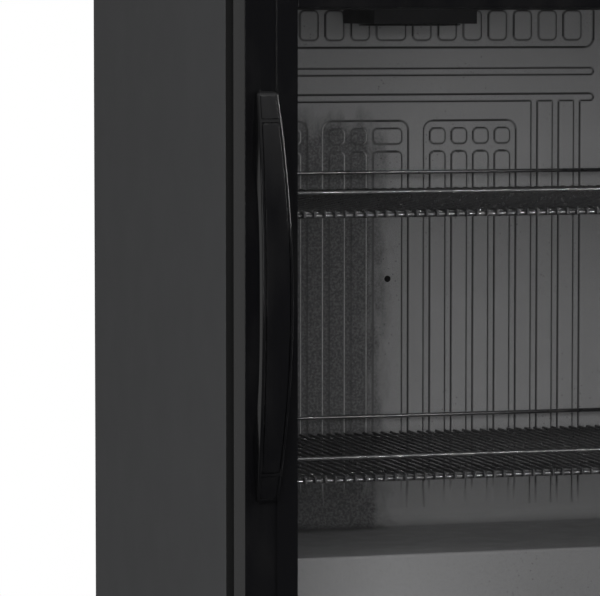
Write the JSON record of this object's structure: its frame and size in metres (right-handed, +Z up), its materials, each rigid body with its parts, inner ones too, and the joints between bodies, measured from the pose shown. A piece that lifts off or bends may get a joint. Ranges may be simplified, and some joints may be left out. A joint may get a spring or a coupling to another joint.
{
  "type": "under counter fridge",
  "caption": "Free-standing under counter fridge with a hinged glass door in a black frame, a bowed handle, dark painted sides and black coated wire shelves.",
  "frame": {"origin": "on the floor, at the middle of the overall footprint, handle included", "axes": "+Z up, -Y out of the door, +X to the right seen from the front"},
  "size_m": [0.6, 0.645, 0.85],
  "materials": {
    "side_paint": "smooth satin dark grey paint",
    "top_paint": "fine textured black paint",
    "door_gloss": "polished black",
    "black_moulding": "fine grained black moulding",
    "liner_plastic": "vacuum-formed dark grey sheet",
    "wire_coat": "black dip coating on steel wire",
    "pane_glass": "clear toughened glass",
    "seal_rubber": "soft black",
    "zinc_sheet": "galvanised sheet",
    "hinge_steel": "zinc plated",
    "copper_pipe": "drawn copper, slightly oxidised",
    "evaporator_alloy": "rolled",
    "foam": "rigid polyurethane foam",
    "white_moulding": "satin white",
    "display_lens": "dark red window",
    "machine_black": "black enamel"
  },
  "bodies": {
    "cabinet": {"left_side_panel": "side_paint", "right_side_panel": "side_paint", "worktop": "top_paint", "rear_panel": "zinc_sheet", "base_pan": "zinc_sheet", "machine_room_panel": "zinc_sheet", "foam_insulation": "foam", "inner_liner": "liner_plastic", "evaporator_plate": "evaporator_alloy", "condenser_coil": "machine_black", "plinth_grille": "black_moulding", "top_hinge_plate": "hinge_steel", "bottom_hinge_bracket": "hinge_steel", "compressor_rail": "zinc_sheet", "compressor_shell": "machine_black", "compressor_relay_box": "black_moulding", "drip_tray": "black_moulding", "drain_hose": "seal_rubber", "filter_drier": "copper_pipe", "discharge_pipe": "copper_pipe", "suction_pipe": "copper_pipe", "power_cord": "seal_rubber", "power_plug": "black_moulding", "cord_grip": "black_moulding", "fan_housing": "black_moulding", "fan_guard": "wire_coat", "lamp_cover": "white_moulding", "led_board": "white_moulding", "temperature_probe": "black_moulding", "controller_housing": "black_moulding", "display_lens": "display_lens", "lamp_switch_bezel": "black_moulding"},
    "door": {"door_stile_left": "door_gloss", "door_stile_right": "door_gloss", "door_rail_top": "door_gloss", "door_rail_bottom": "door_gloss", "lock_keeper": "hinge_steel", "outer_glass": "pane_glass", "inner_glass": "pane_glass", "glass_spacer": "black_moulding", "door_inner_frame": "black_moulding", "door_gasket": "seal_rubber", "handle_grip": "door_gloss", "handle_cap_upper": "door_gloss", "handle_cap_lower": "door_gloss", "hinge_bush_top": "white_moulding", "hinge_bush_bottom": "white_moulding"},
    "upper_shelf": {"shelf_upper": "wire_coat"},
    "lower_shelf": {"shelf_lower": "wire_coat"},
    "fan_rotor": {"fan_blades": "black_moulding"},
    "lock": {"lock_barrel": "hinge_steel"},
    "set_button": {"button_set": "black_moulding"},
    "up_button": {"button_up": "black_moulding"},
    "down_button": {"button_down": "black_moulding"},
    "lamp_rocker": {"lamp_switch_rocker": "black_moulding"},
    "front_left_foot": {"foot_front_left": "black_moulding"},
    "front_right_foot": {"foot_front_right": "black_moulding"},
    "rear_left_foot": {"foot_rear_left": "black_moulding"},
    "rear_right_foot": {"foot_rear_right": "black_moulding"}
  },
  "joints": [
    {"name": "door_swing", "type": "hinge", "parent": "cabinet", "child": "door", "pos_m": [0.284, -0.2575, 0.45], "axis": [0, 0, 1], "range_deg": [0, 110]},
    {"name": "upper_shelf_slide", "type": "slide", "parent": "cabinet", "child": "upper_shelf", "axis": [0, -1, 0], "range_m": [0, 0.02]},
    {"name": "lower_shelf_slide", "type": "slide", "parent": "cabinet", "child": "lower_shelf", "axis": [0, -1, 0], "range_m": [0, 0.08]},
    {"name": "fan_spin", "type": "hinge", "parent": "cabinet", "child": "fan_rotor", "pos_m": [0, 0.175, 0.757], "axis": [0, 0, 1], "continuous": true},
    {"name": "lock_turn", "type": "hinge", "parent": "cabinet", "child": "lock", "pos_m": [-0.215, -0.262, 0.835], "axis": [0, 1, 0], "range_deg": [0, 90]},
    {"name": "set_button_press", "type": "slide", "parent": "cabinet", "child": "set_button", "axis": [0, 1, 0], "range_m": [0, 0.0008], "stiffness_N_per_m": 900},
    {"name": "up_button_press", "type": "slide", "parent": "cabinet", "child": "up_button", "axis": [0, 1, 0], "range_m": [0, 0.0008], "stiffness_N_per_m": 900},
    {"name": "down_button_press", "type": "slide", "parent": "cabinet", "child": "down_button", "axis": [0, 1, 0], "range_m": [0, 0.0008], "stiffness_N_per_m": 900},
    {"name": "lamp_switch_tilt", "type": "hinge", "parent": "cabinet", "child": "lamp_rocker", "pos_m": [0.215, -0.2552, 0.0555], "axis": [1, 0, 0], "range_deg": [-8, 8]},
    {"name": "front_left_foot_turn", "type": "hinge", "parent": "cabinet", "child": "front_left_foot", "pos_m": [-0.262, -0.17, 0.02], "axis": [0, 0, 1], "continuous": true},
    {"name": "front_right_foot_turn", "type": "hinge", "parent": "cabinet", "child": "front_right_foot", "pos_m": [0.262, -0.17, 0.02], "axis": [0, 0, 1], "continuous": true},
    {"name": "rear_left_foot_turn", "type": "hinge", "parent": "cabinet", "child": "rear_left_foot", "pos_m": [-0.262, 0.285, 0.02], "axis": [0, 0, 1], "continuous": true},
    {"name": "rear_right_foot_turn", "type": "hinge", "parent": "cabinet", "child": "rear_right_foot", "pos_m": [0.262, 0.285, 0.02], "axis": [0, 0, 1], "continuous": true}
  ]
}
